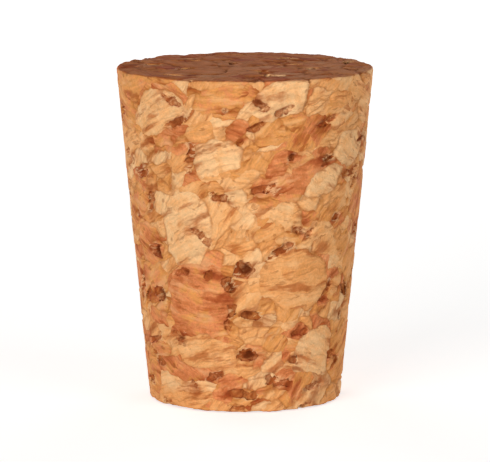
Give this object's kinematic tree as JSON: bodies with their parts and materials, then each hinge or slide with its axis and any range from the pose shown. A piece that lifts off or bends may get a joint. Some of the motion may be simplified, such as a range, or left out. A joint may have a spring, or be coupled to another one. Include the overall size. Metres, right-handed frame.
{
  "type": "cork stopper",
  "caption": "Tapered round stopper of bonded cork granules, with flat ends, worn rims and open gaps between the granules. It is pushed by hand into the neck of a bottle, vial or tube.",
  "frame": {"origin": "centre of the small end face, on which the stopper stands", "axes": "+Z along the stopper's axis towards the large end, -Y out of the side that the picture shows, +X to the right of it"},
  "size_m": [0.0158, 0.0158, 0.0206],
  "materials": {
    "bonded_cork": "matte, turned and sanded, with open gaps between the granules"
  },
  "bodies": {
    "root": {"stopper": "bonded_cork"}
  },
  "joints": []
}
